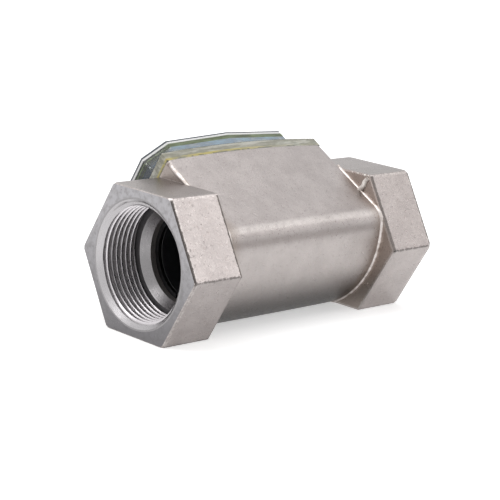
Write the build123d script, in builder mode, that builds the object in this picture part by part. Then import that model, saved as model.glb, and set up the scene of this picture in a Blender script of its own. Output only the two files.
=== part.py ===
"""Inline turbine flow meter with 1-1/2 inch pipe ends and a battery-powered display.

The meter lies as it rests on a bench: on a flat of its two hexagonal ends, with the display
leaning back. The origin is the centre of the inlet face, +X runs along the flow and +Z is up.
All lengths are in millimetres.
"""

import os
from math import atan, cos, degrees, pi, radians, sin

from build123d import *

os.makedirs("parts", exist_ok=True)

# Pipe ends
total_length = 127.0
across_flats = 55.56
nut_length = 22.6
nut_edge_radius = 0.6
nut_face_chamfer = 0.35
nut_corner_cut = 0.8
nut_corner_cut_length = 1.4
hexagon_sides = 6

# Cast middle of the body
body_half_width = 24.0
deck_height = 28.0
side_draft = 0.6
back_shoulder_depth = 14.2
back_depth = 22.9
deck_bow = 1.9
back_bow = 0.3
back_corner_radius = 8.0
end_rounding = 1.4

# Flow passage, as depths from each end face and radii
thread_root_radius = 23.7
mouth_chamfer = 0.5
thread_depth = 16.6
relief_radius = 24.4
shoulder_depth = 18.0
cone_mouth_radius = 20.2
cone_depth = 21.2
support_bore_radius = 17.5
centre_bore_radius = 16.7
ring_groove_depth = 23.6
ring_groove_width = 1.6
ring_groove_radius = 18.4

# Raised window of the cover, in plan from its centre
raised_end_inset = 2.0
raised_end_half_width = 12.9
raised_shoulder_run = 8.7
raised_shoulder_half_width = 21.0
raised_apex_half_width = 22.9

# Cover and its screws
cover_height = 14.6
flange_thickness = 4.4
cover_wall = 2.2
cover_edge_chamfer = 0.6
cover_screw_inset = 4.1
cover_screw_radius = 1.5
cover_screw_length = 14.0
screw_head_radius = 2.8
screw_head_height = 1.7
screw_head_rounding = 0.9
screw_fit = 0.05

# Pocket and seal in the deck
pocket_inset = 3.1
pocket_depth = 7.4
coil_well_depth = 2.0
seal_groove_inset = 1.9
seal_groove_width = 1.8
seal_groove_depth = 1.3
seal_clearance = 0.1

# Rotor supports
support_fit = 0.05
support_ring_wall = 1.6
support_hub_radius = 6.0
support_nose_length = 13.0
support_barrel_length = 13.0
support_hub_overhang = 2.0
vane_count = 5
vane_thickness = 1.5
vane_length = 15.5
vane_setback = 4.5
vane_root_radius = 2.0

# Shaft and bearings
shaft_radius = 1.5
shaft_chamfer = 0.3
shaft_end_gap = 0.4
shaft_overrun = 1.0
bearing_radius = 3.2
bearing_length = 5.0
bearing_clearance = 0.03

# Rotor
rotor_half_length = 8.0
rotor_hub_radius = 5.5
rotor_tip_gap = 0.4
thrust_boss_radius = 2.3
thrust_boss_length = 1.3
thrust_gap = 0.2
blade_count = 8
blade_thickness = 1.3
blade_lead = 110.0
signal_pin_radius = 0.8
signal_pin_circle = 3.6
signal_pin_length = 10.0
signal_pin_count = 2

# Retaining rings
retaining_ring_thickness = 1.5
retaining_ring_width = 2.6
retaining_ring_clearance = 0.1
retaining_ring_gap_angle = 30.0

# Batteries and circuit board, between the pocket floor and the cover
battery_radius = 5.2
battery_length = 43.2
battery_nub_radius = 1.9
battery_nub_length = 0.8
battery_offset = 12.7
battery_floor_gap = 0.2
board_end_clearance = 9.9
board_width = 34.0
board_thickness = 1.6
board_corner_radius = 1.5
board_battery_gap = 1.4
contact_thickness = 0.4
contact_width = 6.0
contact_drop = 10.4
post_radius = 2.3
post_end_inset = 2.8
post_y = 14.2
board_screw_radius = 0.9
board_screw_length = 5.0
board_screw_head_radius = 1.7
board_screw_head_height = 1.1
chip_size = 9.0
chip_height = 1.2
chip_x = 13.0
crystal_length = 8.0
crystal_width = 3.2
crystal_height = 2.4
crystal_x = -13.0

# Display
label_thickness = 0.3
label_edge_gap = 0.3
label_hole_gap = 0.2
glass_length = 42.0
glass_width = 17.0
glass_thickness = 1.8
glass_label_gap = 0.3
glass_y = 4.2
holder_wall = 1.8
holder_lip = 1.2
holder_clearance = 0.15
connector_width = 2.0

# Buttons, domes and their travel
button_radius = 4.3
button_clearance = 0.2
button_edge_radius = 0.5
button_x = 15.0
button_y = -12.4
button_travel = 0.8
button_pressed_height = 0.2
collar_radius = 5.3
collar_thickness = 1.1
collar_gap = 0.05
stem_radius = 1.6
dome_radius = 3.6
dome_pressed_height = 0.5
dome_crown_radius = 2.0

# Pickup coil
bobbin_radius = 4.4
bobbin_barrel_radius = 2.6
bobbin_flange = 1.0
bobbin_clearance = 0.2
winding_radius = 4.0
coil_core_radius = 1.5

# Planes, axes and levels that the pieces share
middle = total_length / 2
half_body = middle - nut_length
corner_reach = across_flats / 2 / cos(pi / hexagon_sides)
lean = radians(360 / hexagon_sides)
flow = Plane(origin=(0, 0, 0), x_dir=(0, 1, 0), z_dir=(1, 0, 0))
across = Plane(origin=(0, 0, 0), x_dir=(0, cos(lean), -sin(lean)), z_dir=(1, 0, 0))
meter = Plane(origin=(middle, 0, 0), x_dir=(1, 0, 0), z_dir=(0, sin(lean), cos(lean)))
mid_plane = Plane(origin=(middle, 0, 0), z_dir=(1, 0, 0))
meter_axis = Axis(meter.origin, meter.z_dir)
raised_half_length = half_body - raised_end_inset
raised_shoulder_x = raised_half_length - raised_shoulder_run
board_length = 2 * (raised_half_length - board_end_clearance)
post_x = board_length / 2 - post_end_inset
flange_top = deck_height + flange_thickness
cover_top = deck_height + cover_height
ceiling = cover_top - cover_wall
pocket_floor = deck_height - pocket_depth
coil_floor = pocket_floor - coil_well_depth
battery_level = pocket_floor + battery_floor_gap + battery_radius
board_underside = battery_level + battery_radius + board_battery_gap
board_height = board_underside + board_thickness
label_underside = ceiling - label_thickness
glass_top = label_underside - glass_label_gap
support_start = ring_groove_depth + ring_groove_width
thrust_face = middle - rotor_half_length - thrust_boss_length
support_hub_end = thrust_face - thrust_gap
support_seat_depth = support_hub_end - support_hub_overhang
support_shoulder_depth = support_hub_end - support_barrel_length
support_nose_depth = support_shoulder_depth - support_nose_length
vane_start = support_hub_end - vane_setback - vane_length
bearing_start = support_hub_end - bearing_length
shaft_start = bearing_start - shaft_overrun
rotor_tip_radius = centre_bore_radius - rotor_tip_gap
button_proud = button_travel + button_pressed_height
dome_height = button_travel + dome_pressed_height
screw_spots = [(x, y) for x in (-1, 1) for y in (-1, 1)]
cover_screw_x = half_body - cover_screw_inset
cover_screw_y = body_half_width - cover_screw_inset


def finish(builder, name):
    """Names a finished piece and writes it."""
    builder.part.label = name
    export_step(builder.part, f"parts/{name}.step")


def corners(x, y):
    """The four places at plus and minus x and y."""
    return [(sign_x * x, sign_y * y) for sign_x, sign_y in screw_spots]


def bowed_face(bow):
    """Plan outline of the cast body: straight ends, and long sides that bow outwards."""
    with BuildSketch() as face:
        with BuildLine():
            for side in (1, -1):
                ThreePointArc(
                    (-half_body, side * body_half_width),
                    (0, side * (body_half_width + bow)),
                    (half_body, side * body_half_width),
                )
                Line((side * half_body, -body_half_width), (side * half_body, body_half_width))
        make_face()
    return face.sketch


def body_section(deck_side, back_side):
    """Section of the cast body, a U with a crowned back, with its sides moved out by the bows."""
    top = deck_height + end_rounding
    deck_half_width = body_half_width + deck_side
    back_half_width = body_half_width + side_draft + back_side
    with BuildSketch() as face:
        with BuildLine():
            sides = Polyline(
                (-back_half_width, -back_shoulder_depth),
                (-deck_half_width, top),
                (deck_half_width, top),
                (back_half_width, -back_shoulder_depth),
            )
            ThreePointArc(sides @ 1, (0, -back_depth), sides @ 0)
        make_face()
        fillet(face.vertices().sort_by(Axis.Y)[:2], back_corner_radius)
    return face.sketch


def window_face(inset):
    """Ten-sided outline of the cover's raised window, moved inwards by inset."""
    with BuildSketch() as face:
        with BuildLine():
            Polyline(
                (raised_half_length, 0),
                (raised_half_length, raised_end_half_width),
                (raised_shoulder_x, raised_shoulder_half_width),
                (0, raised_apex_half_width),
            )
            mirror(about=Plane.XZ)
            mirror(about=Plane.YZ)
        make_face()
        offset(amount=-inset, kind=Kind.INTERSECTION)
    return face.sketch


# Flow passage of one end, from its face to the middle, which the body is cut with
with BuildPart() as end_passage:
    with BuildSketch(Plane.XZ):
        with BuildLine():
            Polyline(
                (0, 0),
                (0, thread_root_radius + mouth_chamfer),
                (mouth_chamfer, thread_root_radius),
                (thread_depth, thread_root_radius),
                (thread_depth, relief_radius),
                (shoulder_depth, relief_radius),
                (shoulder_depth, cone_mouth_radius),
                (cone_depth, support_bore_radius),
                (ring_groove_depth, support_bore_radius),
                (ring_groove_depth, ring_groove_radius),
                (support_start, ring_groove_radius),
                (support_start, support_bore_radius),
                (support_seat_depth, support_bore_radius),
                (support_seat_depth, centre_bore_radius),
                (middle, centre_bore_radius),
                (middle, 0),
                close=True,
            )
        make_face()
    revolve(axis=Axis.X)

# Hexagonal end, with its corners and its outer face slightly broken
with BuildPart() as inlet_end:
    with BuildSketch(flow):
        RegularPolygon(across_flats / 2, hexagon_sides, major_radius=False)
    extrude(amount=nut_length)
    fillet(inlet_end.edges().filter_by(Axis.X), nut_edge_radius)
    chamfer(inlet_end.faces().sort_by(Axis.X)[0].edges(), nut_face_chamfer)
    with BuildSketch(Plane.XZ):
        with BuildLine():
            Polyline(
                (0, 0),
                (0, corner_reach - nut_corner_cut),
                (nut_corner_cut_length, corner_reach),
                (nut_length, corner_reach),
                (nut_length, 0),
                close=True,
            )
        make_face()
    revolve(axis=Axis.X, mode=Mode.INTERSECT)

# Cast and machined body: bowed middle, hexagonal ends, flow passage and deck pocket
with BuildPart() as meter_body:
    for along, deck_side, back_side in ((-half_body, 0, 0), (0, deck_bow, back_bow), (half_body, 0, 0)):
        with BuildSketch(across.offset(middle + along)):
            add(body_section(deck_side, back_side))
    loft()
    split(bisect_by=meter.offset(deck_height), keep=Keep.BOTTOM)
    rims = [meter_body.faces().sort_by(Axis.X)[end].edges().sort_by(meter_axis)[:-1] for end in (0, -1)]
    fillet(rims[0] + rims[1], end_rounding)
    add(inlet_end.part)
    mirror(inlet_end.part, about=mid_plane)
    add(end_passage.part, mode=Mode.SUBTRACT)
    mirror(end_passage.part, about=mid_plane, mode=Mode.SUBTRACT)
    with BuildSketch(meter.offset(pocket_floor)):
        add(window_face(pocket_inset))
    extrude(amount=pocket_depth, mode=Mode.SUBTRACT)
    with BuildSketch(meter.offset(deck_height - seal_groove_depth)):
        add(window_face(seal_groove_inset - seal_groove_width))
        add(window_face(seal_groove_inset), mode=Mode.SUBTRACT)
    extrude(amount=seal_groove_depth, mode=Mode.SUBTRACT)
    with BuildSketch(meter.offset(coil_floor)):
        Circle(bobbin_radius + bobbin_clearance)
    extrude(amount=coil_well_depth, mode=Mode.SUBTRACT)
    with BuildSketch(meter.offset(flange_top - cover_screw_length)):
        with Locations(*corners(cover_screw_x, cover_screw_y)):
            Circle(cover_screw_radius + screw_fit)
    extrude(amount=cover_screw_length, mode=Mode.SUBTRACT)
finish(meter_body, "meter_body")

# Plastic rotor support: a ring that slides into the bore, a nosed hub and five vanes
with BuildPart() as inlet_rotor_support:
    with BuildSketch(Plane.XZ):
        with BuildLine():
            nose = RadiusArc(
                (support_nose_depth, 0),
                (support_shoulder_depth, support_hub_radius),
                -((support_shoulder_depth - support_nose_depth) ** 2 + support_hub_radius**2)
                / (2 * support_hub_radius),
            )
            Polyline(
                nose @ 1,
                (support_hub_end, support_hub_radius),
                (support_hub_end, 0),
                nose @ 0,
            )
        make_face()
    revolve(axis=Axis.X)
    with BuildSketch(flow.offset(vane_start)):
        with PolarLocations((support_bore_radius - support_ring_wall / 2 + vane_root_radius) / 2,
                            vane_count, start_angle=90):
            Rectangle(support_bore_radius - support_ring_wall / 2 - vane_root_radius, vane_thickness)
    extrude(amount=vane_length)
    with BuildSketch(flow.offset(support_start)):
        Circle(support_bore_radius - support_fit)
        Circle(support_bore_radius - support_ring_wall, mode=Mode.SUBTRACT)
    extrude(amount=support_seat_depth - support_start)
    chamfer(inlet_rotor_support.faces().sort_by(Axis.X)[0].edges(), support_ring_wall / 4)
    with BuildSketch(flow.offset(bearing_start)):
        Circle(bearing_radius)
    extrude(amount=bearing_length, mode=Mode.SUBTRACT)
    with BuildSketch(flow.offset(shaft_start - shaft_end_gap)):
        Circle(shaft_radius + shaft_end_gap)
    extrude(amount=shaft_overrun + shaft_end_gap, mode=Mode.SUBTRACT)
finish(inlet_rotor_support, "inlet_rotor_support")

with BuildPart() as outlet_rotor_support:
    mirror(inlet_rotor_support.part, about=mid_plane)
finish(outlet_rotor_support, "outlet_rotor_support")

# Ceramic sleeve bearing in the hub of each support
with BuildPart() as inlet_bearing:
    with BuildSketch(flow.offset(bearing_start)):
        Circle(bearing_radius)
        Circle(shaft_radius + bearing_clearance, mode=Mode.SUBTRACT)
    extrude(amount=bearing_length)
finish(inlet_bearing, "inlet_bearing")

with BuildPart() as outlet_bearing:
    mirror(inlet_bearing.part, about=mid_plane)
finish(outlet_bearing, "outlet_bearing")

# Open spring ring that holds each support against its seat, with its gap at the bottom
with BuildPart() as inlet_retaining_ring:
    with BuildSketch(flow.offset(support_start - retaining_ring_thickness)):
        with BuildLine():
            ring_ends = [
                CenterArc((0, 0), radius, retaining_ring_gap_angle / 2 - 90, 360 - retaining_ring_gap_angle)
                for radius in (ring_groove_radius - retaining_ring_clearance,
                               ring_groove_radius - retaining_ring_width)
            ]
            for end in (0, 1):
                Line(ring_ends[0] @ end, ring_ends[1] @ end)
        make_face()
    extrude(amount=retaining_ring_thickness)
finish(inlet_retaining_ring, "inlet_retaining_ring")

with BuildPart() as outlet_retaining_ring:
    mirror(inlet_retaining_ring.part, about=mid_plane)
finish(outlet_retaining_ring, "outlet_retaining_ring")

# One helical blade, lofted from its root to beyond the tip, with the flow along its own Z
with BuildPart() as rotor_blade:
    for station in (shaft_radius + thrust_gap, (rotor_hub_radius + rotor_tip_radius) / 2,
                    rotor_tip_radius + blade_thickness):
        pitch_angle = atan(2 * pi * station / blade_lead)
        with BuildSketch(Plane.YZ.offset(station)):
            with Locations((0, middle)):
                Rectangle(blade_thickness, 2.2 * rotor_half_length / cos(pitch_angle),
                          rotation=degrees(pitch_angle))
    loft(ruled=True)

# Rotor: twisted blades turned to a true tip diameter on a hub with thrust bosses
with BuildPart(flow) as rotor:
    with PolarLocations(0, blade_count):
        add(rotor_blade.part)
    with BuildSketch(flow.offset(middle - rotor_half_length)):
        Circle(rotor_tip_radius)
    extrude(amount=2 * rotor_half_length, mode=Mode.INTERSECT)
    with BuildSketch(flow.offset(middle - rotor_half_length)):
        Circle(rotor_hub_radius)
    extrude(amount=2 * rotor_half_length)
    with BuildSketch(flow.offset(thrust_face)):
        Circle(thrust_boss_radius)
    extrude(amount=2 * (middle - thrust_face))
    with BuildSketch(flow.offset(thrust_face)):
        Circle(shaft_radius)
    extrude(amount=2 * (middle - thrust_face), mode=Mode.SUBTRACT)
    with BuildSketch(flow.offset(middle - signal_pin_length / 2)):
        with PolarLocations(signal_pin_circle, signal_pin_count):
            Circle(signal_pin_radius)
    extrude(amount=signal_pin_length, mode=Mode.SUBTRACT)
finish(rotor, "rotor")

with BuildPart() as rotor_shaft:
    with BuildSketch(flow.offset(shaft_start)):
        Circle(shaft_radius)
    extrude(amount=2 * (middle - shaft_start))
    chamfer(rotor_shaft.edges(), shaft_chamfer)
finish(rotor_shaft, "rotor_shaft")

with BuildPart() as rotor_signal_pins:
    with BuildSketch(flow.offset(middle - signal_pin_length / 2)):
        with PolarLocations(signal_pin_circle, signal_pin_count):
            Circle(signal_pin_radius)
    extrude(amount=signal_pin_length)
finish(rotor_signal_pins, "rotor_signal_pins")

# Rubber seal in the deck's groove, under the cover
with BuildPart() as cover_seal:
    with BuildSketch(meter.offset(deck_height - seal_groove_depth)):
        add(window_face(seal_groove_inset - seal_groove_width + seal_clearance))
        add(window_face(seal_groove_inset - seal_clearance), mode=Mode.SUBTRACT)
    extrude(amount=seal_groove_depth)
finish(cover_seal, "cover_seal")

# Clear cover: flange on the deck, raised window, and posts for the board under its ceiling
with BuildPart() as display_cover:
    with BuildSketch(meter.offset(deck_height)):
        add(bowed_face(deck_bow))
    extrude(amount=flange_thickness)
    with BuildSketch(meter.offset(flange_top)):
        add(window_face(0))
    extrude(amount=cover_height - flange_thickness)
    chamfer(display_cover.faces().sort_by(meter_axis)[-1].edges(), cover_edge_chamfer)
    with BuildSketch(meter.offset(deck_height)):
        add(window_face(cover_wall))
    extrude(amount=cover_height - cover_wall, mode=Mode.SUBTRACT)
    with BuildSketch(meter.offset(board_height)):
        with Locations(*corners(post_x, post_y)):
            Circle(post_radius)
    extrude(amount=ceiling - board_height)
    with BuildSketch(meter.offset(board_height)):
        with Locations(*corners(post_x, post_y)):
            Circle(board_screw_radius + screw_fit)
    extrude(amount=board_screw_length - board_thickness, mode=Mode.SUBTRACT)
    with BuildSketch(meter.offset(deck_height)):
        with Locations(*corners(cover_screw_x, cover_screw_y)):
            Circle(cover_screw_radius + screw_fit)
    extrude(amount=flange_thickness, mode=Mode.SUBTRACT)
    with BuildSketch(meter.offset(ceiling)):
        with Locations((-button_x, button_y), (button_x, button_y)):
            Circle(button_radius + button_clearance)
    extrude(amount=cover_wall, mode=Mode.SUBTRACT)
finish(display_cover, "display_cover")

with BuildPart() as cover_screws:
    with BuildSketch(meter.offset(flange_top - cover_screw_length)):
        with Locations(*corners(cover_screw_x, cover_screw_y)):
            Circle(cover_screw_radius)
    extrude(amount=cover_screw_length)
    with BuildSketch(meter.offset(flange_top)):
        with Locations(*corners(cover_screw_x, cover_screw_y)):
            Circle(screw_head_radius)
    extrude(amount=screw_head_height)
    fillet(cover_screws.faces().group_by(meter_axis)[-1].edges(), screw_head_rounding)
finish(cover_screws, "cover_screws")

# Printed label under the ceiling, cut out for the glass, the posts and the buttons
with BuildPart() as face_label:
    with BuildSketch(meter.offset(label_underside)):
        add(window_face(cover_wall + label_edge_gap))
        with Locations(*corners(post_x, post_y)):
            Circle(post_radius + label_hole_gap, mode=Mode.SUBTRACT)
        with Locations((-button_x, button_y), (button_x, button_y)):
            Circle(collar_radius + label_hole_gap, mode=Mode.SUBTRACT)
        with Locations((0, glass_y)):
            Rectangle(glass_length - 2 * holder_lip, glass_width - 2 * holder_lip, mode=Mode.SUBTRACT)
    extrude(amount=label_thickness)
finish(face_label, "face_label")

# Frame that stands on the board and holds the glass down on its connector strips
with BuildPart() as lcd_holder:
    with BuildSketch(meter.offset(board_height)):
        with Locations((0, glass_y)):
            Rectangle(glass_length + 2 * holder_wall, glass_width + 2 * holder_wall)
            Rectangle(glass_length + 2 * holder_clearance, glass_width + 2 * holder_clearance,
                      mode=Mode.SUBTRACT)
    extrude(amount=glass_top - board_height)
    with BuildSketch(meter.offset(glass_top)):
        with Locations((0, glass_y)):
            Rectangle(glass_length + 2 * holder_wall, glass_width + 2 * holder_wall)
            Rectangle(glass_length - 2 * holder_lip, glass_width - 2 * holder_lip, mode=Mode.SUBTRACT)
    extrude(amount=glass_label_gap)
finish(lcd_holder, "lcd_holder")

with BuildPart() as lcd_glass:
    with BuildSketch(meter.offset(glass_top - glass_thickness)):
        with Locations((0, glass_y)):
            Rectangle(glass_length, glass_width)
    extrude(amount=glass_thickness)
finish(lcd_glass, "lcd_glass")

with BuildPart() as lcd_connector_strips:
    with BuildSketch(meter.offset(board_height)):
        with Locations((0, glass_y)):
            with GridLocations(0, glass_width - connector_width, 1, 2):
                Rectangle(glass_length - connector_width, connector_width)
    extrude(amount=glass_top - glass_thickness - board_height)
finish(lcd_connector_strips, "lcd_connector_strips")

with BuildPart() as circuit_board:
    with BuildSketch(meter.offset(board_underside)):
        RectangleRounded(board_length, board_width, board_corner_radius)
        with Locations(*corners(post_x, post_y)):
            Circle(board_screw_radius + screw_fit, mode=Mode.SUBTRACT)
    extrude(amount=board_thickness)
finish(circuit_board, "circuit_board")

with BuildPart() as board_screws:
    with BuildSketch(meter.offset(board_underside)):
        with Locations(*corners(post_x, post_y)):
            Circle(board_screw_radius)
    extrude(amount=board_screw_length)
    with BuildSketch(meter.offset(board_underside - board_screw_head_height)):
        with Locations(*corners(post_x, post_y)):
            Circle(board_screw_head_radius)
    extrude(amount=board_screw_head_height)
finish(board_screws, "board_screws")

with BuildPart() as board_chips:
    with BuildSketch(meter.offset(board_underside - chip_height)):
        with Locations((chip_x, 0)):
            Rectangle(chip_size, chip_size)
    extrude(amount=chip_height)
    with BuildSketch(meter.offset(board_underside - crystal_height)):
        with Locations((crystal_x, 0)):
            SlotOverall(crystal_length, crystal_width)
    extrude(amount=crystal_height)
finish(board_chips, "board_chips")

# Two cells that lie side by side on the pocket floor, and the leaf contacts at their ends
for name, side in (("battery_upper", 1), ("battery_lower", -1)):
    with BuildPart() as battery:
        cell_start = Plane(
            origin=meter.from_local_coords(
                Vector(-battery_length / 2, side * battery_offset, battery_level)),
            z_dir=(1, 0, 0))
        with BuildSketch(cell_start):
            Circle(battery_radius)
        extrude(amount=battery_length - battery_nub_length)
        with BuildSketch(cell_start.offset(battery_length - battery_nub_length)):
            Circle(battery_nub_radius)
        extrude(amount=battery_nub_length)
    finish(battery, name)

with BuildPart() as battery_contacts:
    with BuildSketch(meter.offset(board_underside - contact_drop)):
        with GridLocations(battery_length + contact_thickness, 2 * battery_offset, 2, 2):
            Rectangle(contact_thickness, contact_width)
    extrude(amount=contact_drop)
finish(battery_contacts, "battery_contacts")

# Buttons: a cap through the cover, a collar under it and a stem that reaches the dome
for name, side in (("display_button", -1), ("reset_button", 1)):
    with BuildPart() as button:
        with BuildSketch(meter.offset(ceiling - collar_gap)):
            with Locations((side * button_x, button_y)):
                Circle(button_radius)
        extrude(amount=cover_wall + collar_gap + button_proud)
        fillet(button.faces().sort_by(meter_axis)[-1].edges(), button_edge_radius)
        with BuildSketch(meter.offset(ceiling - collar_gap - collar_thickness)):
            with Locations((side * button_x, button_y)):
                Circle(collar_radius)
        extrude(amount=collar_thickness)
        with BuildSketch(meter.offset(board_height + dome_height)):
            with Locations((side * button_x, button_y)):
                Circle(stem_radius)
        extrude(amount=ceiling - collar_gap - collar_thickness - board_height - dome_height)
    finish(button, name)

# Snap domes on the board, which give way under the stems
for name, side in (("display_button_dome", -1), ("reset_button_dome", 1)):
    with BuildPart() as dome:
        with BuildSketch(meter.offset(board_height)):
            with Locations((side * button_x, button_y)):
                Circle(dome_radius)
        with BuildSketch(meter.offset(board_height + dome_height)):
            with Locations((side * button_x, button_y)):
                Circle(dome_crown_radius)
        loft()
    finish(dome, name)

# Pickup coil: bobbin in its well over the rotor, winding and iron core
with BuildPart() as coil_bobbin:
    for level, radius, length in (
        (coil_floor, bobbin_radius, bobbin_flange),
        (coil_floor, bobbin_barrel_radius, board_underside - coil_floor),
        (board_underside - bobbin_flange, bobbin_radius, bobbin_flange),
    ):
        with BuildSketch(meter.offset(level)):
            Circle(radius)
        extrude(amount=length)
    with BuildSketch(meter.offset(coil_floor)):
        Circle(coil_core_radius)
    extrude(amount=board_underside - coil_floor, mode=Mode.SUBTRACT)
finish(coil_bobbin, "coil_bobbin")

with BuildPart() as coil_winding:
    with BuildSketch(meter.offset(coil_floor + bobbin_flange)):
        Circle(winding_radius)
        Circle(bobbin_barrel_radius, mode=Mode.SUBTRACT)
    extrude(amount=board_underside - coil_floor - 2 * bobbin_flange)
finish(coil_winding, "coil_winding")

with BuildPart() as coil_core:
    with BuildSketch(meter.offset(coil_floor)):
        Circle(coil_core_radius)
    extrude(amount=board_underside - coil_floor)
finish(coil_core, "coil_core")
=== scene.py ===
"""Looks of the inline turbine flow meter: materials, pipe threads, screws, display and studio.

Everything is in metres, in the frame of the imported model: the origin is the centre of the inlet
face, +X runs along the flow, +Z is up, and the display leans back towards +Y.
"""

from math import atan2, cos, pi, radians, sin

import bpy
from mathutils import Matrix, Vector


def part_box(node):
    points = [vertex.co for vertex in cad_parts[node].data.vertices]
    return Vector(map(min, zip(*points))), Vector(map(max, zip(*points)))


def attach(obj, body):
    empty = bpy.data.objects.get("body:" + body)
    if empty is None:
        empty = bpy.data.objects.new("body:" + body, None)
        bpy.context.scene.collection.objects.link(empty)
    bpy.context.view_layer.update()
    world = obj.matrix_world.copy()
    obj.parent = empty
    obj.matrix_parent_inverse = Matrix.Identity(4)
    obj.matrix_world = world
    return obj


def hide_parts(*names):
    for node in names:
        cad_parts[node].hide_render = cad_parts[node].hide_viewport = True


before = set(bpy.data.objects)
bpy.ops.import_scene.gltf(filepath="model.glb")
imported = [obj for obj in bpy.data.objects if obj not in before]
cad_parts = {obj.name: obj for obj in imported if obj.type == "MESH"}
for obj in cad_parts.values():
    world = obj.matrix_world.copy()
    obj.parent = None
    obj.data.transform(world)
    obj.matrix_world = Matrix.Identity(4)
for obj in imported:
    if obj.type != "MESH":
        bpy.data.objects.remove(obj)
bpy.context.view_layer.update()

MM = 0.001
body_low, body_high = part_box("meter_body")
LENGTH = body_high.x
MIDDLE = LENGTH / 2
FLOOR_Z = body_low.z

# The display's own axes: its normal, and the direction that reads as up on its face
LEAN = radians(60)
NORMAL = Vector((0, sin(LEAN), cos(LEAN)))
READ_UP = Vector((0, cos(LEAN), -sin(LEAN)))
ALONG = Vector((1, 0, 0))
DISPLAY_TURN = Matrix((ALONG, READ_UP, NORMAL)).transposed().to_4x4()
TO_METER = Matrix.Translation((MIDDLE, 0, 0)) @ DISPLAY_TURN

# Camera, solved from the corners of both hexagonal ends in the photograph
CAMERA_PLACE = Vector((-0.4021, -0.4705, 0.1538))
CAMERA_RIGHT = Vector((0.72507, -0.68546, 0.06653))
CAMERA_UP = Vector((0.11068, 0.21133, 0.97113))
CAMERA_LENS = 125.4
SENSOR = 36.0
CLIP_START = 0.01

# Bore, as depths from each end face and radii
MOUTH_DEPTH = 0.02 * MM
MOUTH_RADIUS = 24.15 * MM
COUNTERSINK_DEPTH = 2.0 * MM
COUNTERSINK_RADIUS = 21.7 * MM
COUNTERSINK_SLOPE = (MOUTH_RADIUS - COUNTERSINK_RADIUS) / COUNTERSINK_DEPTH
THREAD_END = 16.55 * MM
THREAD_PITCH = 25.4 * MM / 11.5
THREAD_CREST = 21.65 * MM
THREAD_HEIGHT = 1.6 * MM
THREAD_TAPER = 1 / 32
THREAD_BACKING = 23.8 * MM
BACKING_DEPTH = 0.55 * MM
THREAD_SEGMENTS = 192
THREAD_SHARP_ANGLE = radians(38)
WELD_DISTANCE = 0.002 * MM
THREAD_PHASE = 0.665
# One pitch of the thread: how far along it, and how far from crest to root
THREAD_PROFILE = [(0.0, 0.0), (0.1, 0.0), (0.2, 0.28), (0.32, 0.62), (0.45, 1.0),
                  (0.55, 1.0), (0.68, 0.62), (0.8, 0.28), (0.9, 0.0)]
RELIEF_END = 18.0 * MM
CONE_END = 21.2 * MM
RING_START = 23.6 * MM
BORE_LIMIT = 24.8 * MM
NUT_LENGTH = 22.6 * MM

# Screws of the cover, in the display's axes
SCREW_X = 36.8
SCREW_Y = 19.9
SCREW_PLACES = [(x, y) for x in (-SCREW_X, SCREW_X) for y in (-SCREW_Y, SCREW_Y)]
SCREW_SEAT = 32.4
DECK = 28.0
SCREW_HEAD_RADIUS = 2.8
SCREW_HEAD_HEIGHT = 1.7
SCREW_SHANK_RADIUS = 1.5
SCREW_SHANK_LENGTH = 14.0
SOCKET_ACROSS_FLATS = 2.0
SOCKET_DEPTH = 1.0
SOCKET_EDGE = 0.06
SOCKET_LIP = 0.07
SOCKET_TIP_RADIUS = 0.3
SOCKET_TIP_DEPTH = 0.3
SHANK_CHAMFER = 0.3
HEAD_CHAMFER = 0.08
# The rounded head, as radii and levels over its seat
SCREW_DOME = [(2.72, 0.95), (2.5, 1.25), (2.2, 1.46), (1.8, 1.62), (1.45, 1.685), (1.32, SCREW_HEAD_HEIGHT)]
DOME_START = 0.62
SCREW_SEGMENTS = 48
SCREW_SHARP_ANGLE = radians(40)

# Display, in the display's axes
GLASS_TOP = 39.8
LABEL_TOP = 40.3
GLASS_Y = 4.2
DIGITS = "02520"
DIGIT_WIDTH = 4.0
DIGIT_HEIGHT = 8.0
DIGIT_STEP = 6.1
STROKE = 0.85
STROKE_GAP = 0.18
INK_THICKNESS = 0.06
# Which of the seven strokes each figure uses: top, upper right, lower right, bottom, lower left,
# upper left, middle
STROKES = {"0": "abcdef", "2": "abdeg", "5": "acdfg"}


def new_mesh(name, points, faces, smooth=True):
    """A mesh object from points and faces, linked to the scene."""
    mesh = bpy.data.meshes.new(name)
    mesh.from_pydata([tuple(p) for p in points], [], faces)
    mesh.validate()
    mesh.update()
    mesh.polygons.foreach_set("use_smooth", [smooth] * len(mesh.polygons))
    piece = bpy.data.objects.new(name, mesh)
    bpy.context.scene.collection.objects.link(piece)
    return piece


def meter_point(x, y, h):
    """A point from millimetres in the display's axes, measured from the flow axis at mid-length."""
    return TO_METER @ (Vector((x, y, h)) * MM)


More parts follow.
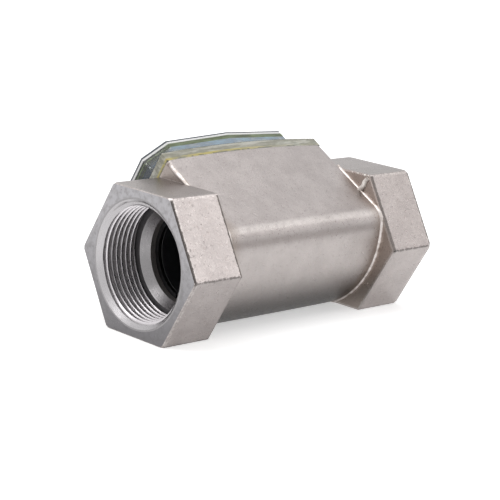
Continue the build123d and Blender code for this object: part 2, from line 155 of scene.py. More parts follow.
class Material:
    """A Principled material, with short calls that add linked nodes to it."""

    def __init__(self, name, color, roughness, metallic=0.0, **sockets):
        self.data = bpy.data.materials.new(name)
        self.data.use_nodes = True
        self.tree = self.data.node_tree
        self.shader = self.tree.nodes["Principled BSDF"]
        self.set("Base Color", (*color, 1))
        self.set("Roughness", roughness)
        self.set("Metallic", metallic)
        for socket, value in sockets.items():
            self.set(socket.replace("_", " "), value)

    def set(self, socket, value):
        """Give a shader socket a value, or link it."""
        self.fill(self.shader.inputs[socket], value)

    def fill(self, socket, value):
        if isinstance(value, bpy.types.NodeSocket):
            self.tree.links.new(value, socket)
        else:
            socket.default_value = value

    def node(self, kind, inputs, output=0, **settings):
        """Add a node, fill its inputs, and return one of its outputs."""
        node = self.tree.nodes.new(kind)
        for key, value in settings.items():
            setattr(node, key, value)
        for key, value in inputs.items():
            self.fill(node.inputs[key], value)
        return node.outputs[output]

    def math(self, operation, *values):
        return self.node("ShaderNodeMath", dict(enumerate(values)), operation=operation)

    def place(self):
        """The point on the piece, in the frame's metres."""
        return self.node("ShaderNodeTexCoord", {}, output="Object")

    def noise(self, scale, detail=4.0, roughness=0.55, stretch=None):
        """Noise with lumps of about 1 / scale metres."""
        place = self.place()
        if stretch:
            place = self.node("ShaderNodeVectorMath", {0: place, 1: stretch}, operation="MULTIPLY")
        inputs = {"Vector": place, "Scale": scale, "Detail": detail, "Roughness": roughness}
        return self.node("ShaderNodeTexNoise", inputs)

    def fade(self, value, start, end, low=0.0, high=1.0):
        """Change smoothly from low to high while value goes from start to end."""
        inputs = {"Value": value, "From Min": start, "From Max": end, "To Min": low, "To Max": high}
        return self.node("ShaderNodeMapRange", inputs, interpolation_type="SMOOTHSTEP")

    def mix(self, factor, first, second):
        """Mix two colours."""
        inputs = {"Factor": factor, 6: self.opaque(first), 7: self.opaque(second)}
        return self.node("ShaderNodeMix", inputs, output=2, data_type="RGBA")

    def opaque(self, color):
        return color if isinstance(color, bpy.types.NodeSocket) else (*color, 1)

    def bump(self, height, depth, strength=1.0, normal=None):
        """A bump whose height of 0 to 1 stands for this depth in metres."""
        inputs = {"Height": height, "Distance": depth, "Strength": strength}
        if normal:
            inputs["Normal"] = normal
        return self.node("ShaderNodeBump", inputs)

    def bore(self):
        """The depth from the nearer end face, the distance from the flow axis, and the normal's X."""
        x, y, z = self.parts(self.place())
        depth = self.math("MINIMUM", x, self.math("SUBTRACT", LENGTH, x))
        radius = self.math("SQRT", self.math("ADD", self.times(y, y), self.times(z, z)))
        return depth, radius, self.math("ABSOLUTE", self.parts(self.normal())[0])

    def normal(self):
        """The direction that the surface faces, in the frame's axes."""
        return self.node("ShaderNodeTexCoord", {}, output="Normal")

    def height(self):
        """The level above the flow axis."""
        return self.parts(self.place())[2]

    def parts(self, vector):
        """The three parts of a vector."""
        node = self.tree.nodes.new("ShaderNodeSeparateXYZ")
        self.fill(node.inputs[0], vector)
        return node.outputs[0], node.outputs[1], node.outputs[2]

    def dot(self, vector, axis):
        """How far a vector reaches along an axis."""
        inputs = {0: vector, 1: axis}
        return self.node("ShaderNodeVectorMath", inputs, output="Value", operation="DOT_PRODUCT")

    def times(self, first, *others):
        """The product of masks or values."""
        for other in others:
            first = self.math("MULTIPLY", first, other)
        return first

    def flip(self, mask):
        """The rest of a mask."""
        return self.math("SUBTRACT", 1.0, mask)

    def away(self, value, middle):
        """How far a value lies from a middle one, either way."""
        return self.math("ABSOLUTE", self.math("SUBTRACT", value, middle))

    def display_place(self):
        """The point in the display's axes, in metres from the flow axis at mid-length."""
        place = self.place()
        along = self.math("SUBTRACT", self.parts(place)[0], MIDDLE)
        return along, self.dot(place, READ_UP), self.dot(place, NORMAL)

    def wear(self, *nodes):
        """Put this material on CAD nodes or new pieces."""
        for name in nodes:
            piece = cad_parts[name] if isinstance(name, str) else name
            piece.data.materials.clear()
            piece.data.materials.append(self.data)


# Camera
camera = bpy.data.objects.new("camera", bpy.data.cameras.new("camera"))
camera.data.lens = CAMERA_LENS
camera.data.sensor_width = SENSOR
camera.data.clip_start = CLIP_START
axes = Matrix((CAMERA_RIGHT, CAMERA_UP, CAMERA_RIGHT.cross(CAMERA_UP))).transposed()
camera.matrix_world = Matrix.Translation(CAMERA_PLACE) @ axes.to_4x4()
bpy.context.scene.collection.objects.link(camera)
bpy.context.scene.camera = camera


# Cast stainless body: its colours
STEEL_DARK = (0.37, 0.335, 0.327)
STEEL_LIGHT = (0.43, 0.392, 0.382)
SPECK = (0.2, 0.175, 0.165)
PATCH = (0.3, 0.26, 0.245)
FLECK = (0.56, 0.52, 0.51)
# Edge lines, partly wear and partly painted shade and painted highlight; the light one is also painted
# light on the body's ridge and on the inner faces' lips
WEAR_AND_PAINTED_SHADE = (0.055, 0.048, 0.044)
WEAR_AND_PAINTED_LIGHT = (0.62, 0.58, 0.56)
# Painted shade on the body's underside
UNDERSIDE_PAINTED_SHADE = (0.055, 0.046, 0.042)
# Brown painted shade where the body meets each hexagonal end
END_PAINTED_SHADE = (0.27, 0.22, 0.185)
SKIN_BROWN = (0.44, 0.375, 0.335)
# Painted light on the outlet end's lower front facets
FAR_LOWER_PAINTED_LIGHT = (0.66, 0.59, 0.56)
TURNED = (0.38, 0.37, 0.385)
TURNED_DARK = (0.28, 0.27, 0.275)
# Painted shade towards the bottom of the end faces
TURNED_PAINTED_SHADE = (0.15, 0.145, 0.15)
BORE_STEEL = (0.29, 0.28, 0.285)
SHADED_STEEL = (0.13, 0.125, 0.13)
# Painted shade on the band behind the cone
BAND_SHADE = (0.12, 0.11, 0.105)
# Black painted shade deeper in the bore
DEEP_BORE_SHADE = (0.006, 0.006, 0.007)

# Noise on the casting: lumps in a metre, detail and roughness
CLOUDS = (120, 5, 0.65)
SAND = (1100, 5, 0.8)
FINE_SAND = (4200, 3, 0.6)
BLOTS = (420, 4, 0.6)
SPECKS = (800, 3, 0.7)
PITS = (360, 2, 0.4)
PATCHES = (480, 4, 0.75)
FLECKS = (900, 2, 0.5)
JAGS = (600, 4, 0.7)
SPOTS = (900, 2)

# Fades of the noise: from which value to which, and from how little to how much
CLOUD_FADE = (0.32, 0.68)
SAND_FADE = (0.48, 0.3, 0.0, 0.4)
BLOT_FADE = (0.58, 0.75, 0.0, 0.25)
SPECK_FADE = (0.62, 0.74)
SPECK_STRENGTH = 0.6
PIT_FADE = (0.74, 0.8)
PATCH_FADE = (0.5, 0.72, 0.0, 0.55)
FLECK_FADE = (0.64, 0.74, 0.0, 0.45)
SPOT_FADE = (0.4, 0.62, 0.0, 0.6)
FACE_BLOT_FADE = (0.4, 0.7)
RIDGE_HIGHLIGHT_BLOT_FADE = (0.3, 0.6, 0.25, 0.65)

# Edges of the hexagonal ends: a jagged outline, painted highlights on the top corners, light rims that are
# partly wear and partly painted highlight, painted shade on the side corners, and dark rim lines that are
# partly wear and partly painted shade
JAG_SIZE = 1.6 * MM
NUT_SEAM = 0.2 * MM
SHELL_START = 27.3 * MM
TOP_CORNER_HIGHLIGHT = (31.35 * MM, 31.65 * MM)
TOP_CORNER_LEVEL = 10 * MM
SIDE_CORNER_SHADE = (31.75 * MM, 31.95 * MM, 0.0, 0.6)
DARK_RIM = (1.05 * MM, 0.8 * MM)
LIGHT_RIM = (1.7 * MM, 1.3 * MM)
BACK_EDGE = (21.8 * MM, 22.1 * MM)
OUTLET_BACK_SHIFT = 1.0 * MM
DARK_LEVELS = (-1.5 * MM, 0.0, 0.15, 1.0)
TOP_FLAT_LEVEL = 27.2 * MM
DARK_STRENGTH = 0.9
# Painted shade on the upward faces of the hexagonal ends
UPWARD_FADE = (0.8, 0.95, 0.0, 0.45)

# Painted light and shade on the middle of the body, by the level below the display's plane
MIDDLE_FADE = (NUT_LENGTH - 0.5 * MM, NUT_LENGTH + 1 * MM)
# A painted dark reflection line along the body's lower corner
RIDGE_LINE = -17.0 * MM
RIDGE_LINE_FADE = (1.4 * MM, 0.1 * MM, 0.0, 0.5)
# A painted highlight along the body's ridge
RIDGE_HIGHLIGHT = -12.6 * MM
RIDGE_HIGHLIGHT_FADE = (2.1 * MM, 0.4 * MM)
# Painted light below the dark line
BELOW_RIDGE_FADE = (RIDGE_LINE, RIDGE_LINE - 2.5 * MM, 0.0, 0.26)
UNDERSIDE_FADE = (-4 * MM, -24 * MM, 0.0, 0.93)
# Brown painted shade where the body meets each hexagonal end
END_SHADE_WANDER = 9 * MM
END_SHADE_REACH = (34 * MM, 41 * MM)
END_SHADE_LEVELS = (14 * MM, 4 * MM, 0.0, 0.6)

# Inner faces of the hexagonal ends with painted shade on top and a painted highlight on the lip, and
# painted light and shade on the outlet end's two front facets
ENDWISE = 0.8
INNER_MARGIN = 1 * MM
INNER_STRENGTH = 0.8
# Painted shade on the upper part of the inner faces, stronger at the inlet
UPPER_INNER_FADE = (0.0, 16 * MM, 0.0, 0.3)
INLET_UPPER_SHADE = 1.6
# Painted light and shade on the outlet end's front facets
FAR_FRONT = -4 * MM
FAR_LOWER_FADE = (-0.3, -0.45, 0.0, 0.13)
FAR_UPPER_FADE = (0.3, 0.45, 0.0, 0.3)
# A painted highlight along the lip of each inner face
LIP_FADE = (26.9 * MM, 27.2 * MM)
LIP_END = 27.9 * MM
LIP_STRENGTH = 0.8

# Turned places
BORED_RADIUS = 18.6 * MM
INSIDE_MARGIN = 0.5 * MM
FACE_DEPTH = 0.3 * MM
FACE_ENDWISE = 0.9
FACE_SHADE_FADE = (20 * MM, -26 * MM, 0.0, 0.8)
RELIEF_END_MARGIN = 0.05 * MM
RELIEF_START_MARGIN = 0.1 * MM
DULL_SHARE = 0.9
STEEL_ROUGHNESS = 0.42
SAND_GLOSS = (0.25, 0.75, 0.24, 0.38)

# Relief of the skin
FINE_SHARE = 0.35
NUT_GRAIN_FADE = (0, 1, 0.55, 1.0)
RINGS_SCALE = 2600.0
RINGS_SHARE = 0.2
SPECK_DENT = 0.4
GRAIN_DEPTH = 0.16 * MM
GRAIN_STRENGTH = 0.9
DENT_DEPTH = 0.2 * MM
DENT_STRENGTH = 0.8

steel = Material("cast_stainless", STEEL_LIGHT, STEEL_ROUGHNESS, 1.0)
depth, radius, endwise = steel.bore()
along, up, level = steel.display_place()
in_nut = steel.math("LESS_THAN", depth, NUT_LENGTH + NUT_SEAM)
middle = steel.fade(depth, *MIDDLE_FADE)
at_outlet = steel.math("GREATER_THAN", steel.parts(steel.place())[0], MIDDLE)
inside = steel.times(steel.math("LESS_THAN", radius, BORE_LIMIT),
                     steel.math("LESS_THAN", depth, CONE_END + INSIDE_MARGIN))
bored = steel.math("MAXIMUM", inside, steel.math("LESS_THAN", radius, BORED_RADIUS))
faced = steel.times(steel.math("LESS_THAN", depth, FACE_DEPTH),
                    steel.math("GREATER_THAN", endwise, FACE_ENDWISE))
turned = steel.math("MAXIMUM", bored, faced)
cloud = steel.noise(*CLOUDS)
grain = steel.noise(*SAND)
blot = steel.noise(*BLOTS)
specks = steel.fade(steel.noise(*SPECKS), *SPECK_FADE)
jagged = steel.times(steel.math("SUBTRACT", steel.noise(*JAGS), 0.5), JAG_SIZE)


def hexagon_reach():
    """The distance from the flow axis across the flats of the hexagonal ends."""
    reach = 0
    for turn in range(3):
        side = Vector((0, sin(pi * turn / 3), cos(pi * turn / 3)))
        reach = steel.math("MAXIMUM", steel.math("ABSOLUTE", steel.dot(steel.place(), side)), reach)
    return reach


def cast_skin():
    """The casting's colour: soft clouds, sand grain, dark specks, and patches on the hexagonal ends."""
    shade = steel.mix(steel.fade(cloud, *CLOUD_FADE), STEEL_DARK, STEEL_LIGHT)
    shade = steel.mix(steel.fade(grain, *SAND_FADE), shade, SPECK)
    shade = steel.mix(steel.fade(blot, *BLOT_FADE), shade, SPECK)
    shade = steel.mix(steel.times(specks, SPECK_STRENGTH), shade, SPECK)
    patches = steel.fade(steel.noise(*PATCHES), *PATCH_FADE)
    shade = steel.mix(steel.times(patches, in_nut), shade, PATCH)
    flecks = steel.fade(steel.noise(*FLECKS), *FLECK_FADE)
    return steel.mix(steel.times(flecks, in_nut), shade, FLECK)


def worn_and_painted_edges(shade, hexagon):
    """Jagged lines along the edges of the hexagonal ends: painted highlights on the top corners, light rims
    that are partly wear and partly painted highlight, painted shade on the side corners, and dark rim lines
    that are partly wear and partly painted shade.
    """
    ragged_radius = steel.math("ADD", radius, jagged)
    ragged_depth = steel.math("ADD", depth, jagged)
    shell = steel.times(steel.math("GREATER_THAN", hexagon, SHELL_START), in_nut)
    above = steel.math("GREATER_THAN", steel.height(), TOP_CORNER_LEVEL)
    top_corner_highlight = steel.times(steel.fade(ragged_radius, *TOP_CORNER_HIGHLIGHT), in_nut, above)
    side_corner_shade = steel.times(steel.fade(ragged_radius, *SIDE_CORNER_SHADE), in_nut, steel.flip(above))
    light_rim = steel.times(steel.fade(ragged_depth, *LIGHT_RIM), shell)
    dark_places = steel.times(steel.fade(steel.height(), *DARK_LEVELS),
                              steel.math("LESS_THAN", steel.height(), TOP_FLAT_LEVEL))
    dark_rim = steel.times(steel.fade(ragged_depth, *DARK_RIM), shell, dark_places)
    shifted = steel.math("ADD", ragged_depth, steel.times(at_outlet, OUTLET_BACK_SHIFT))
    back_edge = steel.times(steel.fade(shifted, *BACK_EDGE), shell, dark_places)
    light = steel.times(steel.math("MAXIMUM", top_corner_highlight, light_rim),
                        steel.fade(steel.noise(*SPOTS), *SPOT_FADE))
    dark = steel.times(steel.math("MAXIMUM", dark_rim, back_edge), DARK_STRENGTH)
    # Painted highlights, then dark lines that are partly wear and partly painted shade, then painted shade
    # on the side corners
    shade = steel.mix(light, shade, WEAR_AND_PAINTED_LIGHT)
    shade = steel.mix(dark, shade, WEAR_AND_PAINTED_SHADE)
    return steel.mix(side_corner_shade, shade, WEAR_AND_PAINTED_SHADE)


def body_marks(shade):
    """Painted light and shade on the body: a painted dark reflection line and a painted highlight along its
    lower corner, painted light below them, painted shade on its underside, painted shade on the upward
    faces of the hexagonal ends, and brown painted shade where the body meets each end, low down.
    """
    # A painted dark reflection line along the body's lower corner
    ridge_line = steel.fade(steel.away(level, RIDGE_LINE), *RIDGE_LINE_FADE)
    shade = steel.mix(steel.times(ridge_line, middle), shade, SPECK)
    # Painted light below the dark line
    shade = steel.mix(steel.times(steel.fade(level, *BELOW_RIDGE_FADE), middle), shade, WEAR_AND_PAINTED_LIGHT)
    # Painted shade, darker towards the bottom of the body
    shade = steel.mix(steel.times(steel.fade(steel.height(), *UNDERSIDE_FADE), middle), shade, UNDERSIDE_PAINTED_SHADE)
    # A painted highlight along the ridge, broken up by the blots
    ridge_highlight = steel.times(steel.fade(steel.away(level, RIDGE_HIGHLIGHT), *RIDGE_HIGHLIGHT_FADE), middle,
                               steel.fade(blot, *RIDGE_HIGHLIGHT_BLOT_FADE))
    shade = steel.mix(ridge_highlight, shade, WEAR_AND_PAINTED_LIGHT)
    # Painted shade on the upward faces of the hexagonal ends
    upward = steel.fade(steel.parts(steel.normal())[2], *UPWARD_FADE)
    shade = steel.mix(steel.times(upward, in_nut), shade, SPECK)
    # Brown painted shade where the body meets each hexagonal end, low down, with a wandering edge
    wander = steel.times(steel.math("SUBTRACT", cloud, 0.5), END_SHADE_WANDER)
    reach = steel.math("ADD", steel.math("ABSOLUTE", along), wander)
    end_shade = steel.times(steel.fade(reach, *END_SHADE_REACH), middle, steel.fade(level, *END_SHADE_LEVELS))
    return steel.mix(end_shade, shade, END_PAINTED_SHADE)


def inner_places(shade, hexagon):
    """The brown inner faces of the hexagonal ends with painted shade on their upper part and a painted
    highlight on their lip, and painted light and shade on the outlet end's front facets.
    """
    inner = steel.times(steel.math("GREATER_THAN", endwise, ENDWISE),
                        steel.math("GREATER_THAN", depth, NUT_LENGTH - INNER_MARGIN))
    shade = steel.mix(steel.times(inner, INNER_STRENGTH), shade, SKIN_BROWN)
    # Painted shade on the upper part of the inner faces, stronger at the inlet
    upper = steel.times(steel.fade(steel.height(), *UPPER_INNER_FADE),
                        steel.fade(at_outlet, 0.0, 1.0, INLET_UPPER_SHADE, 1.0), inner)
    shade = steel.mix(upper, shade, SPECK)
    # Painted light on the outlet end's lower front facets and painted shade on its upper ones
    front = steel.math("LESS_THAN", steel.parts(steel.place())[1], FAR_FRONT)
    facets = steel.times(at_outlet, in_nut, front, steel.flip(inner))
    slope = steel.parts(steel.normal())[2]
    shade = steel.mix(steel.times(facets, steel.fade(slope, *FAR_LOWER_FADE)), shade, FAR_LOWER_PAINTED_LIGHT)
    shade = steel.mix(steel.times(facets, steel.fade(slope, *FAR_UPPER_FADE)), shade, SPECK)
    # A painted highlight along the lip of each inner face
    lip = steel.times(inner, steel.fade(steel.math("ADD", hexagon, jagged), *LIP_FADE),
                      steel.math("LESS_THAN", hexagon, LIP_END), LIP_STRENGTH)
    return steel.mix(lip, shade, WEAR_AND_PAINTED_LIGHT)


def turned_places(shade):
    """The end faces with painted shade towards their bottom, and the bore, with the relief and the band
    that lie in the cone's shade painted dark, and black painted shade deeper in.
    """
    face = steel.mix(steel.fade(blot, *FACE_BLOT_FADE), TURNED, TURNED_DARK)
    # Painted shade towards the bottom of the end faces
    face = steel.mix(steel.fade(steel.height(), *FACE_SHADE_FADE), face, TURNED_PAINTED_SHADE)
    shade = steel.mix(faced, shade, face)
    shade = steel.mix(bored, shade, BORE_STEEL)
    relief = steel.times(bored, steel.math("LESS_THAN", depth, RELIEF_END + RELIEF_END_MARGIN),
                         steel.math("GREATER_THAN", depth, THREAD_END - RELIEF_START_MARGIN))
    shade = steel.mix(relief, shade, SHADED_STEEL)
    # Painted shade on the band behind the cone
    band = steel.times(bored, steel.math("GREATER_THAN", depth, CONE_END))
    shade = steel.mix(band, shade, BAND_SHADE)
    steel.set("Metallic", steel.flip(steel.times(steel.math("MAXIMUM", relief, band), DULL_SHARE)))
    # Black painted shade deeper in the bore
    beyond = steel.times(bored, steel.math("GREATER_THAN", depth, RING_START))
    return steel.mix(beyond, shade, DEEP_BORE_SHADE)


def skin_relief():
    """Sand grain on the casting, rings on turned places, and dents where the pits and specks are."""
    sand = steel.math("ADD", grain, steel.times(steel.noise(*FINE_SAND), FINE_SHARE))
    sand = steel.times(sand, steel.fade(middle, *NUT_GRAIN_FADE))
    inputs = {"W": steel.times(radius, RINGS_SCALE), "Scale": 1.0, "Detail": 2.0}
    rings = steel.node("ShaderNodeTexNoise", inputs, noise_dimensions="1D")
    inputs = {"Factor": turned, 2: sand, 3: steel.times(rings, RINGS_SHARE)}
    height = steel.node("ShaderNodeMix", inputs, data_type="FLOAT")
    grained = steel.bump(height, GRAIN_DEPTH, GRAIN_STRENGTH)
    pits = steel.fade(steel.noise(*PITS), *PIT_FADE)
    dents = steel.times(steel.math("ADD", pits, steel.times(specks, SPECK_DENT)), steel.flip(turned))
    return steel.bump(steel.flip(dents), DENT_DEPTH, DENT_STRENGTH, grained)


hexagon = hexagon_reach()
shade = worn_and_painted_edges(cast_skin(), hexagon)
shade = inner_places(body_marks(shade), hexagon)
steel.set("Base Color", turned_places(shade))
steel.set("Roughness", steel.fade(grain, *SAND_GLOSS))
steel.set("Normal", skin_relief())
steel.wear("meter_body")


# Turned threads: a painted highlight on the crests, painted shade in the roots, and painted light on an
# even countersink
THREAD_STEEL = (0.5, 0.48, 0.49)
THREAD_GLOSS = 0.3
CREST_HIGHLIGHT = (0.72, 0.69, 0.71)
ROOT_SHADE = (0.36, 0.345, 0.35)
COUNTERSINK_LIGHT = (0.47, 0.455, 0.465)
CREST_FADE = (0.1 * MM, THREAD_HEIGHT, 0.0, 1.0)
CONE_MARGIN = 0.06 * MM
ROOT_METALLIC_FADE = (0.1, 0.9, 1.0, 0.45)
TOOL_MARKS = (1200, 3, 0.6)
TOOL_MARK_STRETCH = (3.0, 0.3, 0.3)
TOOL_MARK_GLOSS = (0.3, 0.7, 0.24, 0.36)
TOOL_MARK_DEPTH = 0.03 * MM
TOOL_MARK_STRENGTH = 0.6

thread_steel = Material("turned_thread", THREAD_STEEL, THREAD_GLOSS, 1.0)
depth, radius, endwise = thread_steel.bore()
crest = thread_steel.math("SUBTRACT", THREAD_CREST + THREAD_TAPER * COUNTERSINK_DEPTH,
                          thread_steel.times(depth, THREAD_TAPER))
cone = thread_steel.math("ADD", radius, thread_steel.times(depth, COUNTERSINK_SLOPE))
in_cone = thread_steel.math("LESS_THAN", cone, MOUTH_RADIUS + CONE_MARGIN)
root = thread_steel.times(thread_steel.fade(thread_steel.math("SUBTRACT", radius, crest), *CREST_FADE),
                          thread_steel.flip(in_cone))
# Painted highlight on the crests, painted shade in the roots, painted light on the countersink
shade = thread_steel.mix(root, CREST_HIGHLIGHT, ROOT_SHADE)
thread_steel.set("Base Color", thread_steel.mix(in_cone, shade, COUNTERSINK_LIGHT))
thread_steel.set("Metallic", thread_steel.fade(root, *ROOT_METALLIC_FADE))
tool_marks = thread_steel.noise(*TOOL_MARKS, stretch=TOOL_MARK_STRETCH)
thread_steel.set("Roughness", thread_steel.fade(tool_marks, *TOOL_MARK_GLOSS))
thread_steel.set("Normal", thread_steel.bump(tool_marks, TOOL_MARK_DEPTH, TOOL_MARK_STRENGTH))


def thread_point(depth, angle):
    """A point of the inlet's thread form at this depth and angle, cut back by the countersink."""
    turn = (depth / THREAD_PITCH - angle / (2 * pi) - THREAD_PHASE) % 1.0
    for (start, low), (end, high) in zip(THREAD_PROFILE, THREAD_PROFILE[1:] + [(1.0, 0.0)]):
        if start <= turn <= end:
            sink = low + (high - low) * (turn - start) / (end - start)
            break
    radius = THREAD_CREST + THREAD_HEIGHT * sink - THREAD_TAPER * (depth - COUNTERSINK_DEPTH)
    along = (depth - MOUTH_DEPTH) / (COUNTERSINK_DEPTH - MOUTH_DEPTH)
    countersink = MOUTH_RADIUS + (COUNTERSINK_RADIUS - MOUTH_RADIUS) * along
    radius = max(radius, countersink)
    return Vector((depth, radius * cos(angle), radius * sin(angle)))


def thread_form(name, at_outlet):
    """A closed ring whose inner side is the tapered pipe thread, set into the bore's wall."""
    turns = int(THREAD_END / THREAD_PITCH) + 2
    marks = [(turn + start + THREAD_PHASE) * THREAD_PITCH
             for turn in range(-2, turns) for start, sink in THREAD_PROFILE]
    points = []
    for segment in range(THREAD_SEGMENTS):
        angle = 2 * pi * segment / THREAD_SEGMENTS
        shift = THREAD_PITCH * segment / THREAD_SEGMENTS
        side = Vector((0, cos(angle), sin(angle)))
        row = [thread_point(min(max(mark + shift, MOUTH_DEPTH), THREAD_END), angle) for mark in marks]
        row.append(Vector((THREAD_END, 0, 0)) + side * THREAD_BACKING)
        row.append(Vector((BACKING_DEPTH, 0, 0)) + side * THREAD_BACKING)
        points += row
    if at_outlet:
        points = [Vector((LENGTH - p.x, p.y, -p.z)) for p in points]
    count = len(marks)
    across = count + 2
    faces = []
    for segment in range(THREAD_SEGMENTS):
        here = segment * across
        there = (segment + 1) % THREAD_SEGMENTS * across
        last = segment == THREAD_SEGMENTS - 1
        # After a full turn each mark meets the one a pitch further on
        step = len(THREAD_PROFILE) if last else 0
        for i in range(count - 1):
            faces.append([here + i, here + i + 1,
                          there + min(i + 1 + step, count - 1), there + min(i + step, count - 1)])
        if last:
            for i in range(step):
                faces.append([here, there + i + 1, there + i])
        faces.append([here + count - 1, here + count, there + count, there + count - 1])
        faces.append([here + count, here + count + 1, there + count + 1, there + count])
        faces.append([here + count + 1, here, there, there + count + 1])
    piece = new_mesh(name, points, [tuple(dict.fromkeys(face)) for face in faces])
    bpy.context.view_layer.objects.active = piece
    weld = piece.modifiers.new("weld", "WELD")
    weld.merge_threshold = WELD_DISTANCE
    piece.modifiers.new("edges", "EDGE_SPLIT").split_angle = THREAD_SHARP_ANGLE
    thread_steel.wear(piece)
    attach(piece, "meter")


thread_form("inlet_thread_form", False)
thread_form("outlet_thread_form", True)


# Casting marks: a bead where the body meets each hexagonal end, ribs on the parting line, small burrs
BODY_HALF_WIDTH = 24.45 * MM
BODY_CORNER_LEVEL = -10.2 * MM
BODY_CORNER_RADIUS = 8.0 * MM
BODY_CROWN_RADIUS = 39.13 * MM
BODY_CROWN_LEVEL = 16.23 * MM
BODY_DRAFT = 0.018
BODY_TOP = 26.8 * MM
SIDE_STEPS = 12
CORNER_STEPS = 8
CROWN_STEPS = 10

INLET_BEAD_SIZE = 0.95 * MM
OUTLET_BEAD_TOP = 15.4 * MM
OUTLET_BEAD_SIZE = 1.1 * MM
BEAD_INSET = 0.45 * MM
BEAD_DEPTH = NUT_LENGTH + 0.3 * MM
BEAD_SEGMENTS = 10
# Waves that make the bead uneven: how much, how fast along its points, and where they start
BEAD_WAVES = ((0.07, 2.1, 0.0), (0.05, 5.3, 1.0))

RIB_START = 23.6 * MM
RIB_END = 30.6 * MM
RIB_HALF_WIDTH = 1.0 * MM
RIB_HEIGHT = 1.8 * MM
RIB_STEPS = 12
# A rib's section: the share of its half width and of its height at each corner
RIB_SECTION = ((-1, -0.1), (-0.55, 0.8), (0, 1), (0.55, 0.8), (1, -0.1))
RIB_TALLEST = 1.15
RIB_FALL = 0.6
RIB_WAVE = (0.04, 1.9)
RIB_WANDER = (0.2 * MM, 0.9)

NUT_FLAT = 27.78 * MM
# Burrs on the top flat's inner edge: their place across it and their size, in millimetres
BURRS = ((-15.4, 0.5), (-13.6, 0.75), (-12.5, 0.4), (-9.9, 0.6), (-8.8, 0.35), (-6.9, 0.5),
         (7.4, 0.45), (10.8, 0.6), (14.2, 0.5))
# A burr's foot: the share of its size sideways and downwards at each corner
BURR_FOOT = ((-1, 0), (-0.5, 1.7), (0.7, 1.4), (1, 0))
BURR_TIP = 0.9
BURR_ROOT = 0.1 * MM
BURR_SINK = 0.05 * MM


def bead_line(top):
    """Points of half the body's outline, from its side by the deck to the crown of its back."""
    corner = BODY_HALF_WIDTH - BODY_CORNER_RADIUS
    turn = atan2(BODY_CROWN_LEVEL - BODY_CORNER_LEVEL, corner)
    points = []
    for i in range(SIDE_STEPS + 1):
        level = top + (BODY_CORNER_LEVEL - top) * i / SIDE_STEPS
        points.append((BODY_HALF_WIDTH - BODY_DRAFT * (level - BODY_CORNER_LEVEL), level))
    for i in range(1, CORNER_STEPS + 1):
        angle = -turn * i / CORNER_STEPS
        points.append((corner + BODY_CORNER_RADIUS * cos(angle),
                       BODY_CORNER_LEVEL + BODY_CORNER_RADIUS * sin(angle)))
    for i in range(1, CROWN_STEPS + 1):
        angle = -turn - (pi / 2 - turn) * i / CROWN_STEPS
        points.append((BODY_CROWN_RADIUS * cos(angle), BODY_CROWN_LEVEL + BODY_CROWN_RADIUS * sin(angle)))
    return points


def section_place(depth, across, level, at_outlet):
    """A point at this depth from an end face, in the section's own axes."""
    x = LENGTH - depth if at_outlet else depth
    return Vector((x, 0, 0)) + READ_UP * across + NORMAL * level


def bead(name, at_outlet, top, size):
    """A slightly uneven bead round the body's end, kept above the floor."""
    half = bead_line(top)
    line = half + [(-across, level) for across, level in reversed(half[:-1])]
    points, faces = [], []
    for i, (across, level) in enumerate(line):
        ahead, behind = line[min(i + 1, len(line) - 1)], line[max(i - 1, 0)]
        along = Vector((ahead[0] - behind[0], ahead[1] - behind[1])).normalized()
        out = Vector((-along.y, along.x))
        if out.dot(Vector((across, level))) < 0:
            out = -out
        radius = size * (1 + sum(share * sin(pace * i + start) for share, pace, start in BEAD_WAVES))
        for k in range(BEAD_SEGMENTS):
            angle = 2 * pi * k / BEAD_SEGMENTS
            rise = radius * cos(angle) - BEAD_INSET
            depth = BEAD_DEPTH + radius * sin(angle)
            point = section_place(depth, across + out.x * rise, level + out.y * rise, at_outlet)
            point.z = max(point.z, FLOOR_Z)
            points.append(point)
    for i in range(len(line) - 1):
        for k in range(BEAD_SEGMENTS):
            a, b = i * BEAD_SEGMENTS + k, i * BEAD_SEGMENTS + (k + 1) % BEAD_SEGMENTS
            faces.append([a, b, b + BEAD_SEGMENTS, a + BEAD_SEGMENTS])
    last = (len(line) - 1) * BEAD_SEGMENTS
    faces.append(list(range(BEAD_SEGMENTS)))
    faces.append([last + k for k in reversed(range(BEAD_SEGMENTS))])
    piece = new_mesh(name, points, faces)
    bead_highlight.wear(piece)
    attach(piece, "meter")


def add_rib(points, faces, at_outlet, side):
    """One rib from the body out to a corner of the hexagon, where the mould's halves met."""
    start, corners = len(points), len(RIB_SECTION)
    for i in range(RIB_STEPS + 1):
        across = side * (RIB_START + (RIB_END - RIB_START) * i / RIB_STEPS)
        height = RIB_HEIGHT * (RIB_TALLEST - RIB_FALL * i / RIB_STEPS + RIB_WAVE[0] * sin(RIB_WAVE[1] * i))
        shift = RIB_WANDER[0] * sin(RIB_WANDER[1] * i)
        for offset, rise in RIB_SECTION:
            points.append(section_place(NUT_LENGTH + height * rise, across,
                                        shift + RIB_HALF_WIDTH * offset, at_outlet))
    for i in range(RIB_STEPS):
        row = start + i * corners
        for k in range(corners):
            after = (k + 1) % corners
            faces.append([row + k, row + after, row + corners + after, row + corners + k])
    faces.append([start + k for k in range(corners)])
    faces.append([start + RIB_STEPS * corners + k for k in reversed(range(corners))])


